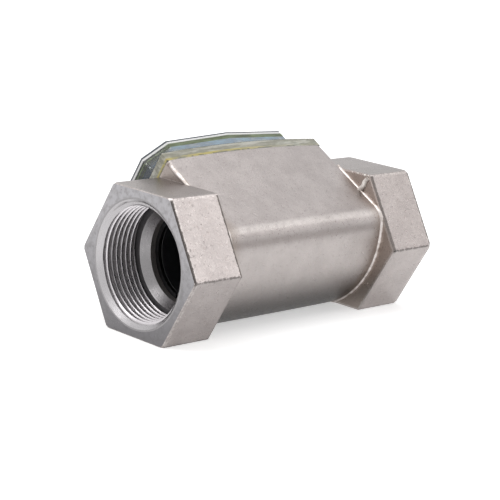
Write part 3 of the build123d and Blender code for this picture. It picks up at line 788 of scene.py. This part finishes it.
def add_burr(points, faces, at_outlet, place, size):
    """One small burr that hangs from the top flat's inner edge."""
    start, corners = len(points), len(BURR_FOOT)
    shape = [Vector((NUT_LENGTH + BURR_TIP * size, place, NUT_FLAT - BURR_TIP * size))]
    for offset, drop in BURR_FOOT:
        level = NUT_FLAT - (drop * size or BURR_SINK)
        shape.append(Vector((NUT_LENGTH - BURR_ROOT, place + offset * size, level)))
    points += [Vector((LENGTH - p.x, p.y, p.z)) if at_outlet else p for p in shape]
    for k in range(corners):
        faces.append([start, start + 1 + k, start + 1 + (k + 1) % corners])
    faces.append([start + 1 + k for k in reversed(range(corners))])


def parting_ribs():
    """The ribs and burrs of both ends, as one piece."""
    points, faces = [], []
    for at_outlet in (False, True):
        for side in (1, -1):
            add_rib(points, faces, at_outlet, side)
    for at_outlet in (False, True):
        for place, size in BURRS:
            add_burr(points, faces, at_outlet, place * MM, size * MM)
    piece = new_mesh("parting_ribs", points, faces)
    rib_highlight.wear(piece)
    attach(piece, "meter")


# A painted highlight: the beads' steel is brighter than the body's, and mottled
BEAD_HIGHLIGHT = (0.6, 0.55, 0.53)
BEAD_HIGHLIGHT_PALE = (0.66, 0.61, 0.59)
BEAD_HIGHLIGHT_DULL = (0.4, 0.35, 0.32)
# A painted highlight: the ribs' and burrs' steel is much brighter than the body's
RIB_HIGHLIGHT = (0.85, 0.8, 0.76)

# Painted highlight on the casting beads
bead_highlight = Material("bead_highlight_stainless", BEAD_HIGHLIGHT, roughness=0.34, metallic=1.0)
mottle = bead_highlight.fade(bead_highlight.noise(scale=500, detail=4), start=0.35, end=0.7)
bead_highlight.set("Base Color", bead_highlight.mix(mottle, BEAD_HIGHLIGHT_PALE, BEAD_HIGHLIGHT_DULL))
bead_highlight.set("Normal", bead_highlight.bump(bead_highlight.noise(scale=900, detail=4), depth=0.1 * MM, strength=0.7))

# Painted highlight on the parting ribs and burrs
rib_highlight = Material("rib_highlight_stainless", RIB_HIGHLIGHT, roughness=0.4, metallic=0.4)
rib_highlight.set("Normal", rib_highlight.bump(rib_highlight.noise(scale=700, detail=4), depth=0.06 * MM, strength=0.6))

bead("inlet_casting_bead", False, BODY_TOP, INLET_BEAD_SIZE)
bead("outlet_casting_bead", True, OUTLET_BEAD_TOP, OUTLET_BEAD_SIZE)
parting_ribs()


# Cover: clear, frosted on its rim, a blue band and its flange; its side walls streaked by level with
# painted reflections of the label, a painted highlight on the rim, a painted dark outline, painted shade
# along the seam, and the yellow seal painted where it shows through the flange
CLEAR = (0.93, 0.97, 0.93)
# Painted reflections of the label in the side walls, blue and green
BLUE_REFLECTION_DEEP = (0.05, 0.13, 0.27)
BLUE_REFLECTION_PALE = (0.42, 0.58, 0.68)
GREEN_REFLECTION_DARK = (0.08, 0.11, 0.035)
GREEN_REFLECTION_LIGHT = (0.2, 0.25, 0.13)
FLANGE_DARK = (0.36, 0.35, 0.27)
FLANGE_LIGHT = (0.76, 0.74, 0.66)
# The yellow seal painted on the flange as seen through it, fading towards the outlet as painted shade
GOLD = (0.72, 0.6, 0.16)
# Broken painted shade along the seam at the flange's foot
SEAM_PAINTED_SHADE = (0.08, 0.085, 0.06)
# A painted highlight on the cover's rim
RIM_PAINTED_HIGHLIGHT = (0.93, 0.93, 0.92)
# Painted shade: a dark outline along the side walls' top edge
OUTLINE_PAINTED_SHADE = (0.06, 0.07, 0.09)

# Levels over which each band begins, and the places along the cover that bound it
OUTLINE_FADE = (41.3 * MM, 41.4 * MM)
RIM_FADE = (40.3 * MM, 40.5 * MM)
GREEN_REFLECTION_FADE = (38.3 * MM, 38.6 * MM)
BLUE_FADE = (33.0 * MM, 33.3 * MM)
BLUE_REACH = (33 * MM, 30 * MM)
FLANGE_FADE = (SCREW_SEAT * MM, (SCREW_SEAT - 0.3) * MM)
GOLD_FADE = (29.6 * MM, 28.9 * MM)
GOLD_REACH = (20 * MM, -10 * MM, 0.15, 1.0)
SEAM_FADE = ((DECK + 0.5) * MM, (DECK + 0.3) * MM)

COVER_ENDWISE = 0.9
STREAKS = (420, 4, 0.7)
STREAK_STRETCH = (0.2, 1.0, 1.6)
COVER_CLOUDS = (160, 4)
SEAM_BREAKS = (170, 3)
WALL_FADE = (0.35, 0.65, 0.4, 1.0)
WALL_STREAK_FADE = (0.48, 0.64)
GREEN_REFLECTION_STREAK_FADE = (0.4, 0.6)
FLANGE_STREAK_FADE = (0.4, 0.65)
GOLD_STREAK_FADE = (0.35, 0.55)
SEAM_BREAK_FADE = (0.47, 0.53, 0.0, 0.85)
BLUE_FROST_FADE = (0.3, 0.6, 0.5, 0.95)
FLANGE_FROST = 0.75
COVER_GLOSS = (0.3, 0.7, 0.04, 0.11)
FROST_ROUGHNESS = 0.4
FROST_COVERAGE = 0.7

clear = Material("clear_cover", CLEAR, roughness=0.06, Transmission_Weight=1.0, IOR=1.49)
along, up, level = clear.display_place()
facing = clear.math("ABSOLUTE", clear.dot(clear.normal(), NORMAL))
wall = clear.math("LESS_THAN", facing, COVER_ENDWISE)
streaks = clear.noise(*STREAKS, stretch=STREAK_STRETCH)
outline = clear.times(wall, clear.fade(level, *OUTLINE_FADE))
rim = clear.times(wall, clear.fade(level, *RIM_FADE))
green_reflection = clear.times(wall, clear.fade(level, *GREEN_REFLECTION_FADE))
flange = clear.times(wall, clear.fade(level, *FLANGE_FADE))
gold = clear.times(clear.fade(level, *GOLD_FADE), clear.fade(streaks, *GOLD_STREAK_FADE),
                   clear.fade(along, *GOLD_REACH), flange)
seam = clear.times(flange, clear.fade(level, *SEAM_FADE),
                   clear.fade(clear.noise(*SEAM_BREAKS), *SEAM_BREAK_FADE))
# Painted reflections of the label: blue and green bands on the side walls
blue_reflections = clear.mix(clear.fade(streaks, *WALL_STREAK_FADE), BLUE_REFLECTION_DEEP, BLUE_REFLECTION_PALE)
greens = clear.mix(clear.fade(streaks, *GREEN_REFLECTION_STREAK_FADE), GREEN_REFLECTION_DARK, GREEN_REFLECTION_LIGHT)
greys = clear.mix(clear.fade(streaks, *FLANGE_STREAK_FADE), FLANGE_DARK, FLANGE_LIGHT)
shade = clear.mix(clear.times(wall, clear.fade(streaks, *WALL_FADE)), CLEAR, blue_reflections)
shade = clear.mix(green_reflection, shade, greens)
shade = clear.mix(flange, shade, greys)
# The yellow seal painted on the flange as seen through it, fading towards the outlet as painted shade
shade = clear.mix(gold, shade, GOLD)
# Broken painted shade along the seam at the flange's foot
shade = clear.mix(seam, shade, SEAM_PAINTED_SHADE)
# A painted highlight on the rim
shade = clear.mix(rim, shade, RIM_PAINTED_HIGHLIGHT)
# Painted shade: a dark outline along the side walls' top edge
clear.set("Base Color", clear.mix(outline, shade, OUTLINE_PAINTED_SHADE))
blue = clear.times(wall, clear.fade(level, *BLUE_FADE), clear.fade(streaks, *BLUE_FROST_FADE),
                   clear.fade(clear.math("ABSOLUTE", along), *BLUE_REACH))
frosted = clear.math("MAXIMUM", clear.math("MAXIMUM", rim, blue), clear.times(flange, FLANGE_FROST))
gloss = clear.fade(clear.noise(*COVER_CLOUDS), *COVER_GLOSS)
clear.set("Roughness", clear.math("ADD", gloss, clear.times(frosted, FROST_ROUGHNESS)))
clear.set("Transmission Weight", clear.flip(clear.times(frosted, FROST_COVERAGE)))
clear.wear("display_cover")

# Label: a blue print with a green border and a pale frame round the glass
LABEL_BASE = (0.03, 0.12, 0.3)
LABEL_BLUE = ((0.025, 0.11, 0.28), (0.035, 0.135, 0.33))
LABEL_FRAME = (0.74, 0.75, 0.76)
LABEL_BORDER = (0.3, 0.34, 0.1)
BLUE_HALF_LENGTH = 34.5 * MM
BLUE_HALF_WIDTH = 17.6 * MM
FRAME_HALF_LENGTH = 21.6 * MM
FRAME_HALF_WIDTH = 9.1 * MM
PRINT_BLUR = 0.1 * MM

label = Material("label_print", LABEL_BASE, roughness=0.35)
along, up, height = label.display_place()
outside = label.math("MAXIMUM", label.math("SUBTRACT", label.math("ABSOLUTE", along), BLUE_HALF_LENGTH),
                     label.math("SUBTRACT", label.math("ABSOLUTE", up), BLUE_HALF_WIDTH))
border = label.fade(outside, -PRINT_BLUR, PRINT_BLUR)
beyond = label.math("MAXIMUM", label.math("SUBTRACT", label.math("ABSOLUTE", along), FRAME_HALF_LENGTH),
                    label.math("SUBTRACT", label.away(up, GLASS_Y * MM), FRAME_HALF_WIDTH))
around = label.fade(beyond, PRINT_BLUR, -PRINT_BLUR)
shade = label.mix(label.noise(scale=500, detail=3), *LABEL_BLUE)
shade = label.mix(around, shade, LABEL_FRAME)
label.set("Base Color", label.mix(border, shade, LABEL_BORDER))
label.set("Normal", label.bump(label.noise(scale=3000, detail=2), depth=0.02 * MM, strength=0.5))
# The sheet shown is a copy whose top lies 0.1 mm under the cover's ceiling, so that the two don't touch
label_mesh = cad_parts["face_label"].data.copy()
to_display = TO_METER.inverted()
for point in label_mesh.vertices:
    place = to_display @ point.co
    place.z = min(place.z, LABEL_TOP * MM)
    point.co = TO_METER @ place
sheet = bpy.data.objects.new("label_sheet", label_mesh)
bpy.context.scene.collection.objects.link(sheet)
label.wear(sheet)
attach(sheet, "meter")
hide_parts("face_label")

# Display: grey-green glass and near-black figures
GLASS_GREEN = (0.42, 0.46, 0.38)
GLASS_TONES = ((0.38, 0.42, 0.34), (0.46, 0.5, 0.42))
INK_BLACK = (0.02, 0.022, 0.025)

glass = Material("display_glass", GLASS_GREEN, roughness=0.12, Coat_Weight=0.6)
glass.set("Base Color", glass.mix(glass.noise(scale=60, detail=2), *GLASS_TONES))
glass.wear("lcd_glass")
ink = Material("display_ink", INK_BLACK, roughness=0.4)
ink.set("Roughness", ink.fade(ink.noise(scale=900, detail=2), start=0.3, end=0.7, low=0.3, high=0.5))


def stroke_outline(letter):
    """The corners of one stroke of a seven-stroke figure, from the figure's lower left corner."""
    half = STROKE / 2
    middle = DIGIT_HEIGHT / 2
    level = {"a": DIGIT_HEIGHT - half, "g": middle, "d": half}
    if letter in level:
        y = level[letter]
        left, right = half + STROKE_GAP, DIGIT_WIDTH - half - STROKE_GAP
        return [(left, y), (left + half, y - half), (right - half, y - half), (right, y),
                (right - half, y + half), (left + half, y + half)]
    x = half if letter in "ef" else DIGIT_WIDTH - half
    low, high = (middle, DIGIT_HEIGHT - half) if letter in "bf" else (half, middle)
    low, high = low + STROKE_GAP, high - STROKE_GAP
    return [(x, low), (x + half, low + half), (x + half, high - half), (x, high),
            (x - half, high - half), (x - half, low + half)]


def figures():
    """The display's number as thin raised strokes on the glass."""
    outlines = []
    left = -DIGIT_STEP * len(DIGITS) / 2 + (DIGIT_STEP - DIGIT_WIDTH) / 2
    bottom = GLASS_Y - DIGIT_HEIGHT / 2
    for column, digit in enumerate(DIGITS):
        for stroke in STROKES[digit]:
            outline = stroke_outline(stroke)
            outlines.append([(left + column * DIGIT_STEP + x, bottom + y) for x, y in outline])
    points, faces = [], []
    for outline in outlines:
        start, count = len(points), len(outline)
        for h in (GLASS_TOP - INK_THICKNESS, GLASS_TOP + INK_THICKNESS):
            points += [meter_point(x, y, h) for x, y in outline]
        faces.append([start + count + i for i in range(count)])
        faces.append([start + count - 1 - i for i in range(count)])
        for i in range(count):
            j = (i + 1) % count
            faces.append([start + i, start + j, start + count + j, start + count + i])
    return new_mesh("display_figures", points, faces, smooth=False)


digits = figures()
ink.wear(digits)
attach(digits, "meter")


# Plastics and rubber
def plastic(name, color, roughness, nodes, tones=None, lumps=None, grain=None):
    """A plastic or rubber with a mottled colour between two tones, a fine moulded grain, or both.

    Lumps are the noise's scale and detail, and a grain is a scale, a detail, a depth and a strength.
    """
    finish = Material(name, color, roughness)
    if tones:
        finish.set("Base Color", finish.mix(finish.noise(*lumps), *tones))
    if grain:
        scale, detail, depth, strength = grain
        finish.set("Normal", finish.bump(finish.noise(scale, detail), depth * MM, strength))
    finish.wear(*nodes)


plastic("black_plastic", (0.014, 0.014, 0.016), 0.45,
        ["inlet_rotor_support", "outlet_rotor_support", "coil_bobbin"],
        tones=((0.011, 0.011, 0.013), (0.018, 0.018, 0.02)), lumps=(120, 3), grain=(2500, 3, 0.03, 0.6))
plastic("rotor_plastic", (0.03, 0.032, 0.036), 0.4, ["rotor"],
        tones=((0.026, 0.028, 0.032), (0.036, 0.038, 0.043)), lumps=(150, 3))
plastic("holder_plastic", (0.7, 0.7, 0.68), 0.5, ["lcd_holder"],
        tones=((0.66, 0.66, 0.64), (0.74, 0.74, 0.72)), lumps=(200, 3), grain=(2500, 3, 0.02, 0.5))
plastic("button_rubber", (0.03, 0.03, 0.032), 0.6, ["display_button", "reset_button"],
        tones=((0.024, 0.024, 0.026), (0.038, 0.038, 0.04)), lumps=(800, 3), grain=(3000, 2, 0.03, 0.6))
plastic("chip_plastic", (0.02, 0.02, 0.022), 0.5, ["board_chips"], grain=(4000, 2, 0.02, 0.6))
plastic("connector_rubber", (0.5, 0.5, 0.52), 0.6, ["lcd_connector_strips"],
        tones=((0.4, 0.4, 0.42), (0.6, 0.6, 0.62)), lumps=(900, 2))
plastic("seal_rubber", (0.62, 0.6, 0.05), 0.55, ["cover_seal"],
        tones=((0.55, 0.52, 0.03), (0.72, 0.68, 0.09)), lumps=(700, 3))
plastic("ceramic", (0.78, 0.75, 0.68), 0.3, ["inlet_bearing", "outlet_bearing"],
        tones=((0.74, 0.71, 0.64), (0.82, 0.79, 0.73)), lumps=(1500, 3))

# Board: solder mask with tracks under it
BOARD_GREEN = (0.02, 0.16, 0.06)
SOLDER_MASK = (0.015, 0.13, 0.05)
TRACK_GREEN = (0.05, 0.24, 0.1)
TRACKS_SCALE = 300.0
TRACK_GAP = 0.02
BLACK = (0, 0, 0, 1)
DARK_GREY = (0.2, 0.2, 0.2, 1)
WHITE = (1, 1, 1, 1)

board = Material("board_laminate", BOARD_GREEN, roughness=0.35)
along, up, height = board.display_place()
tracks = board.node("ShaderNodeTexBrick", {
    "Vector": board.node("ShaderNodeCombineXYZ", {0: along, 1: up}), "Scale": TRACKS_SCALE,
    "Mortar Size": TRACK_GAP, "Color1": BLACK, "Color2": DARK_GREY, "Mortar": WHITE})
board.set("Base Color", board.mix(tracks, SOLDER_MASK, TRACK_GREEN))
board.wear("circuit_board")

# Batteries: printed jacket with bare ends
JACKET_BLUE = (0.05, 0.2, 0.45)
JACKET_TONES = ((0.04, 0.17, 0.4), (0.06, 0.22, 0.48))
BARE_END = (0.62, 0.62, 0.62)
JACKET_END_FADE = (20.4 * MM, 20.6 * MM)

jacket = Material("cell_jacket", JACKET_BLUE, roughness=0.3)
along, up, height = jacket.display_place()
ends = jacket.fade(jacket.math("ABSOLUTE", along), *JACKET_END_FADE)
shade = jacket.mix(jacket.noise(scale=300, detail=2), *JACKET_TONES)
jacket.set("Base Color", jacket.mix(ends, shade, BARE_END))
jacket.set("Metallic", ends)
jacket.wear("battery_upper", "battery_lower")

# Small metal pieces
MOTTLE = (4, 0.6)
METAL_GLOSS = (0.3, 0.7)
GLOSS_UNDER = 0.06
GLOSS_OVER = 0.08


def metal(name, low, high, roughness, lumps, nodes):
    """A metal whose colour varies from low to high, and its gloss a little. Lumps is the noise's scale."""
    finish = Material(name, high, roughness, 1.0)
    mottle = finish.noise(lumps, *MOTTLE)
    finish.set("Base Color", finish.mix(mottle, low, high))
    gloss = finish.fade(mottle, *METAL_GLOSS, roughness - GLOSS_UNDER, roughness + GLOSS_OVER)
    finish.set("Roughness", gloss)
    finish.set("Normal", finish.bump(mottle, depth=0.02 * MM, strength=0.5))
    finish.wear(*nodes)
    return finish


screw_steel = metal("screw_steel", (0.5, 0.49, 0.48), (0.62, 0.61, 0.6), 0.3, 900, ["board_screws"])
metal("dark_spring_steel", (0.04, 0.04, 0.042), (0.07, 0.07, 0.073), 0.4, 800,
      ["inlet_retaining_ring", "outlet_retaining_ring"])
metal("carbide", (0.3, 0.3, 0.31), (0.36, 0.36, 0.37), 0.2, 1200, ["rotor_shaft"])
metal("pin_steel", (0.45, 0.45, 0.46), (0.55, 0.55, 0.56), 0.3, 1200, ["rotor_signal_pins"])
metal("contact_metal", (0.55, 0.53, 0.48), (0.68, 0.66, 0.6), 0.28, 700, ["battery_contacts"])
metal("dome_metal", (0.6, 0.58, 0.52), (0.72, 0.7, 0.64), 0.25, 700,
      ["display_button_dome", "reset_button_dome"])
metal("copper_wire", (0.45, 0.16, 0.06), (0.6, 0.24, 0.1), 0.35, 3000, ["coil_winding"])
metal("core_iron", (0.12, 0.12, 0.12), (0.2, 0.2, 0.2), 0.45, 900, ["coil_core"])


# Cover screws: domed heads with a hexagonal socket
def screw(x, y):
    """The points and faces of one screw in the display's axes."""
    profile = [(SCREW_SHANK_RADIUS - SHANK_CHAMFER, -SCREW_SHANK_LENGTH),
               (SCREW_SHANK_RADIUS, SHANK_CHAMFER - SCREW_SHANK_LENGTH), (SCREW_SHANK_RADIUS, 0.0),
               (SCREW_HEAD_RADIUS - HEAD_CHAMFER, 0.0), (SCREW_HEAD_RADIUS, HEAD_CHAMFER),
               (SCREW_HEAD_RADIUS, DOME_START)] + SCREW_DOME
    floor = SCREW_HEAD_HEIGHT - SOCKET_DEPTH
    points = []
    for i in range(SCREW_SEGMENTS):
        angle = 2 * pi * i / SCREW_SEGMENTS
        wedge = (angle + pi / 6) % (pi / 3) - pi / 6
        socket = SOCKET_ACROSS_FLATS / 2 / cos(wedge)
        row = profile + [(socket + SOCKET_EDGE, SCREW_HEAD_HEIGHT),
                         (socket, SCREW_HEAD_HEIGHT - SOCKET_LIP),
                         (socket, floor), (SOCKET_TIP_RADIUS, floor - SOCKET_TIP_DEPTH)]
        points += [meter_point(x + r * cos(angle), y + r * sin(angle), SCREW_SEAT + z) for r, z in row]
    across = len(row)
    faces = []
    for i in range(SCREW_SEGMENTS):
        j = (i + 1) % SCREW_SEGMENTS
        for k in range(across - 1):
            faces.append([i * across + k, j * across + k, j * across + k + 1, i * across + k + 1])
    faces.append([i * across for i in reversed(range(SCREW_SEGMENTS))])
    faces.append([i * across + across - 1 for i in range(SCREW_SEGMENTS)])
    return points, faces


points, faces = [], []
for x, y in SCREW_PLACES:
    screw_points, screw_faces = screw(x, y)
    faces += [[len(points) + corner for corner in face] for face in screw_faces]
    points += screw_points
screws = new_mesh("cover_screw_set", points, faces)
screws.modifiers.new("edges", "EDGE_SPLIT").split_angle = SCREW_SHARP_ANGLE
screw_steel.wear(screws)
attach(screws, "meter")
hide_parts("cover_screws")


# Studio: a white sweep that keeps the object's shadow, and soft lamps
# How strongly the white world lights the pieces, where 1 is what the camera sees of it
WORLD_DIFFUSE = 0.65
FLOOR_COLOR = (0.82, 0.82, 0.82)
FLOOR_LIFT = 0.47
FLOOR_MIRRORED_LIFT = 0.36
FLOOR_SIZE = 6.0
# Beyond these distances from the origin the floor goes over into plain white
FLOOR_NEAR = 0.3
FLOOR_FAR = 0.8


def seen_directly(nodes, links):
    """A factor that is 1 for what the camera sees, directly or in metal or glass."""
    path = nodes.new("ShaderNodeLightPath")
    total = path.outputs["Is Camera Ray"]
    for ray in ("Is Glossy Ray", "Is Transmission Ray"):
        join = nodes.new("ShaderNodeMath")
        join.operation = "MAXIMUM"
        links.new(total, join.inputs[0])
        links.new(path.outputs[ray], join.inputs[1])
        total = join.outputs[0]
    return total


world = bpy.data.worlds.new("studio")
world.use_nodes = True
bpy.context.scene.world = world
nodes, links = world.node_tree.nodes, world.node_tree.links
background = nodes["Background"]
background.inputs["Color"].default_value = WHITE
strength = nodes.new("ShaderNodeMapRange")
strength.inputs["To Min"].default_value = WORLD_DIFFUSE
strength.inputs["To Max"].default_value = 1.0
links.new(seen_directly(nodes, links), strength.inputs["Value"])
links.new(strength.outputs[0], background.inputs["Strength"])

SQUARE = ((-1, -1), (1, -1), (1, 1), (-1, 1))
corners = [(MIDDLE + x * FLOOR_SIZE, y * FLOOR_SIZE, FLOOR_Z) for x, y in SQUARE]
floor = new_mesh("studio_floor", corners, [(0, 1, 2, 3)], smooth=False)
floor_paint = Material("studio_floor", FLOOR_COLOR, 1.0, Specular_IOR_Level=0.0)
path = floor_paint.tree.nodes.new("ShaderNodeLightPath")
distance = floor_paint.node("ShaderNodeVectorMath", {0: floor_paint.place()}, output="Value",
                            operation="LENGTH")
lift = floor_paint.fade(distance, FLOOR_NEAR, FLOOR_FAR, FLOOR_LIFT, 1.0)
glow = floor_paint.times(path.outputs["Is Camera Ray"], lift)
mirrored = floor_paint.times(path.outputs["Is Glossy Ray"], FLOOR_MIRRORED_LIFT)
floor_paint.set("Emission Color", WHITE)
floor_paint.set("Emission Strength", floor_paint.math("ADD", glow, mirrored))
floor_paint.wear(floor)


def lamp(name, place, target, size, watts, color=(1, 1, 1), spread=180):
    """A square soft lamp that faces a target. Its spread is in degrees."""
    light = bpy.data.lights.new(name, "AREA")
    light.spread = radians(spread)
    light.size = size
    light.energy = watts
    light.color = color
    holder = bpy.data.objects.new(name, light)
    holder.location = place
    aim = Vector(target) - Vector(place)
    holder.rotation_euler = aim.to_track_quat("-Z", "Y").to_euler()
    bpy.context.scene.collection.objects.link(holder)


TARGET = (MIDDLE, 0, 0)
INLET_FACE = (0.0, 0.0, 0.0)
BEFORE_INLET = (-0.08, 0.0, 0.0)
WARM = (1.0, 0.985, 0.975)
lamp("key", (0.6, -0.56, 0.52), BEFORE_INLET, size=0.4, watts=0.045, color=WARM, spread=32)
lamp("side", (0.7, 0.1, 0.85), TARGET, size=0.9, watts=0.5)
lamp("left", (-0.72, 0.42, 0.42), INLET_FACE, size=0.28, watts=0.6)
lamp("corner", (-0.5, 0.08, 0.85), TARGET, size=0.5, watts=1.6)
lamp("back", (0.2, 0.85, 0.85), TARGET, size=0.6, watts=1.2)
lamp("top", (0.0, -0.3, 1.5), TARGET, size=1.2, watts=7.0)

bpy.context.scene.view_settings.view_transform = "Standard"
